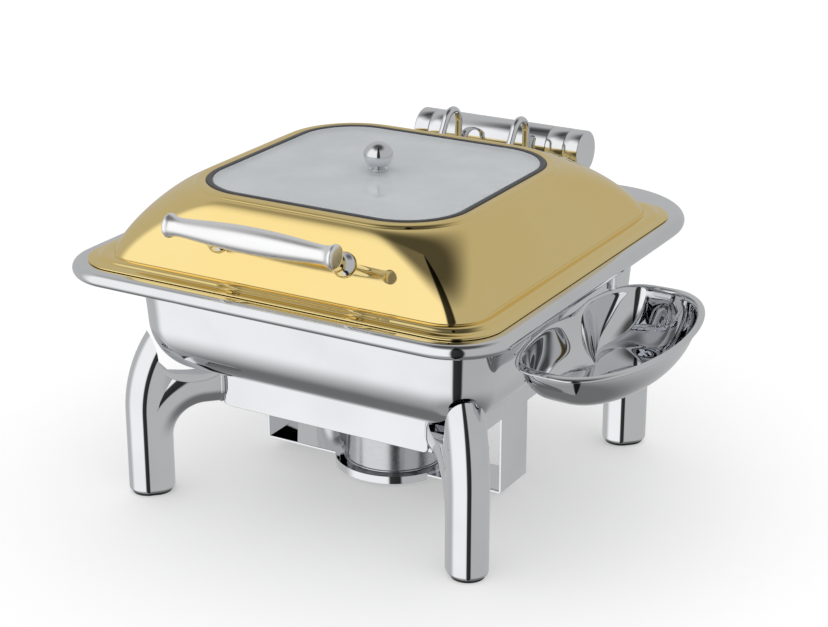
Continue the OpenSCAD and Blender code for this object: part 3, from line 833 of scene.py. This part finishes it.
def make_studio_world(strength):
    """Plain white light on the floor; polished metal sees a room, one soft box and one dark flag."""
    world = bpy.data.worlds.new("studio")
    bpy.context.scene.world = world
    world.use_nodes = True
    tree = world.node_tree
    g = Graph(tree)
    direction = g.node("ShaderNodeTexCoord", output="Generated")
    split = tree.nodes.new("ShaderNodeSeparateXYZ")
    plug(tree, direction, split.inputs[0])
    x, y, z = [Shade(tree, socket) for socket in split.outputs]
    bearing = x.maths("ARCTAN2", y * -1) * math.degrees(1)
    height = z.maths("ARCSINE") * math.degrees(1)
    overhead = height.step(OVERHEAD_FROM, OVERHEAD_FULL)
    low = 1 - height.step(LOW_FULL, LOW_FROM)
    dome = overhead * (OVERHEAD_LIGHT - DOME_LIGHT) + low * (LOW_LIGHT - DOME_LIGHT) + DOME_LIGHT
    beside = (bearing - BOX_BEARING).maths("ABSOLUTE").step(BOX_FULL, BOX_EDGE)
    away = (bearing - FLAG_BEARING).maths("ABSOLUTE")
    clear = away.step(FLAG_HALF_WIDTH - FLAG_EDGE, FLAG_HALF_WIDTH + FLAG_EDGE)
    glow = dome * (beside * (ROOM_SHARE - 1) + 1) * (clear * (1 - FLAG_LIGHT) + FLAG_LIGHT)
    soft_dome = g.node("ShaderNodeBackground", inputs={"Color": glow, "Strength": strength})
    plain = g.node("ShaderNodeBackground", inputs={"Color": (1, 1, 1, 1), "Strength": FLOOR_LIGHT * strength})
    polished = g.node("ShaderNodeLightPath", output="Is Glossy Ray")
    mix = tree.nodes.new("ShaderNodeMixShader")
    for place, value in zip(mix.inputs, (polished, plain, soft_dome)):
        plug(tree, value, place)
    tree.links.new(mix.outputs[0], tree.nodes["World Output"].inputs["Surface"])


def make_camera(lens):
    data = bpy.data.cameras.new("camera")
    camera = bpy.data.objects.new("camera", data)
    bpy.context.scene.collection.objects.link(camera)
    data.lens = lens
    data.sensor_width = 36.0
    data.clip_end = 200.0
    camera.location = CAMERA_PLACE
    turn, tilt = math.radians(CAMERA_TURN), math.radians(CAMERA_DOWN)
    look = Vector((-math.sin(turn) * math.cos(tilt), math.cos(turn) * math.cos(tilt), -math.sin(tilt)))
    camera.rotation_mode = "QUATERNION"
    camera.rotation_quaternion = look.to_track_quat("-Z", "Y")
    bpy.context.scene.camera = camera
    bpy.context.scene.view_settings.view_transform = "Standard"


def make_floor(half):
    bm = bmesh.new()
    bmesh.ops.create_grid(bm, x_segments=2, y_segments=2, size=half)
    mesh = bpy.data.meshes.new("floor")
    bm.to_mesh(mesh)
    bm.free()
    floor = bpy.data.objects.new("floor", mesh)
    bpy.context.scene.collection.objects.link(floor)
    def varying(g):
        dark, pale = [rgba((grey, grey, grey)) for grey in (FLOOR_DARK, FLOOR_PALE)]
        return {"Base Color": g.blend(g.noise(3.0, 2.0), dark, pale)}
    lit = {"Roughness": 0.9, "Specular IOR Level": 0.1, "Emission Color": (1, 1, 1, 1),
           "Emission Strength": FLOOR_GLOW}
    mesh.materials.append(surface("pale_floor", lit, varying))
    floor.visible_glossy = False


# ---------------------------------------------------------------- operators

class ChaferOperator:
    bl_options = {"REGISTER", "UNDO"}


class CHAFER_OT_stand(ChaferOperator, bpy.types.Operator):
    """Legs, feet, collars, frame rails and strap"""
    bl_idname = "chafer.stand"
    bl_label = "Stand"

    def execute(self, context):
        for place in PLACES:
            make_leg(place)
            make_foot(place)
            make_collar(place)
            publish("corner_link_" + place, copied("corner_" + place), "stand", "polished_steel",
                    ["corner_" + place], bevel=0.5)
        for side in ("front", "back", "left", "right"):
            publish("frame_rail_" + side, copied("rail_" + side), "stand", "polished_steel",
                    ["rail_" + side], bevel=0.6)
        publish("strap_bar", copied("burner_strap"), "stand", "polished_steel", ["burner_strap"], bevel=0.5)
        return {"FINISHED"}


class CHAFER_OT_pans(ChaferOperator, bpy.types.Operator):
    """Water pan and the food pan inside it"""
    bl_idname = "chafer.pans"
    bl_label = "Pans"

    def execute(self, context):
        make_water_pan()
        make_food_pan()
        return {"FINISHED"}


class CHAFER_OT_lid(ChaferOperator, bpy.types.Operator):
    """Dome, seal, window and knob"""
    bl_idname = "chafer.lid"
    bl_label = "Lid"

    def execute(self, context):
        make_lid_shell()
        make_gasket()
        make_glass()
        make_knob()
        return {"FINISHED"}


class CHAFER_OT_handle(ChaferOperator, bpy.types.Operator):
    """Grip, stems and nuts"""
    bl_idname = "chafer.handle"
    bl_label = "Handle"

    def execute(self, context):
        make_handle()
        for side in ("left", "right"):
            make_handle_post(side)
        publish("handle_nut_pair", copied("handle_nuts"), "lid", "plain_steel", ["handle_nuts"], bevel=0.4)
        return {"FINISHED"}


class CHAFER_OT_hinge(ChaferOperator, bpy.types.Operator):
    """Barrel, seats, arms and their pads"""
    bl_idname = "chafer.hinge"
    bl_label = "Hinge"

    def execute(self, context):
        make_barrel()
        for side in ("left", "right"):
            make_arm(side)
            publish("hinge_base_" + side, copied("hinge_seat_" + side), "stand", "polished_steel",
                    ["hinge_seat_" + side], bevel=0.5)
        publish("arm_pad_pair", copied("arm_pads"), "lid", "polished_steel", ["arm_pads"], bevel=0.5)
        return {"FINISHED"}


class CHAFER_OT_burner(ChaferOperator, bpy.types.Operator):
    """Fuel plate and cup"""
    bl_idname = "chafer.burner"
    bl_label = "Burner"

    def execute(self, context):
        publish("fuel_plate_disc", copied("fuel_plate"), "stand", "polished_steel", ["fuel_plate"],
                bevel=0.35)
        make_fuel_cup()
        return {"FINISHED"}


class CHAFER_OT_bowl(ChaferOperator, bpy.types.Operator):
    """Side bowl and its hanger"""
    bl_idname = "chafer.bowl"
    bl_label = "Side bowl"

    def execute(self, context):
        make_bowl()
        make_bowl_post()
        return {"FINISHED"}


class CHAFER_OT_stage(ChaferOperator, bpy.types.Operator):
    """Floor, studio light and camera"""
    bl_idname = "chafer.stage"
    bl_label = "Stage"

    def execute(self, context):
        stage = context.scene.chafer_stage
        make_studio_world(stage.light)
        make_floor(stage.floor)
        make_camera(stage.lens)
        return {"FINISHED"}


class CHAFER_PT_panel(bpy.types.Panel):
    """Lists the pieces and their sizes"""
    bl_idname = "CHAFER_PT_panel"
    bl_label = "Chafing dish"
    bl_space_type = "VIEW_3D"
    bl_region_type = "UI"
    bl_category = "Chafer"

    def draw(self, context):
        for operator in OPERATORS:
            self.layout.operator(operator.bl_idname)
        for name in GROUPS:
            group = getattr(context.scene, name)
            for prop in type(group).__annotations__:
                self.layout.prop(group, prop)


GROUPS = {"chafer_lid": LidSizes, "chafer_handle": HandleSizes, "chafer_bowl": BowlSizes,
          "chafer_finish": FinishColours, "chafer_stage": StageSizes}
OPERATORS = (CHAFER_OT_stand, CHAFER_OT_pans, CHAFER_OT_lid, CHAFER_OT_handle, CHAFER_OT_hinge,
             CHAFER_OT_burner, CHAFER_OT_bowl, CHAFER_OT_stage)


def register():
    for cls in (*GROUPS.values(), *OPERATORS, CHAFER_PT_panel):
        bpy.utils.register_class(cls)
    for name, group in GROUPS.items():
        setattr(bpy.types.Scene, name, PointerProperty(type=group))


def unregister():
    for name in GROUPS:
        delattr(bpy.types.Scene, name)
    for cls in reversed((*GROUPS.values(), *OPERATORS, CHAFER_PT_panel)):
        bpy.utils.unregister_class(cls)


def main():
    register()
    bpy.ops.chafer.stand()
    bpy.ops.chafer.pans()
    bpy.ops.chafer.lid()
    bpy.ops.chafer.handle()
    bpy.ops.chafer.hinge()
    bpy.ops.chafer.burner()
    bpy.ops.chafer.bowl()
    bpy.ops.chafer.stage()


if __name__ == "__main__":
    main()
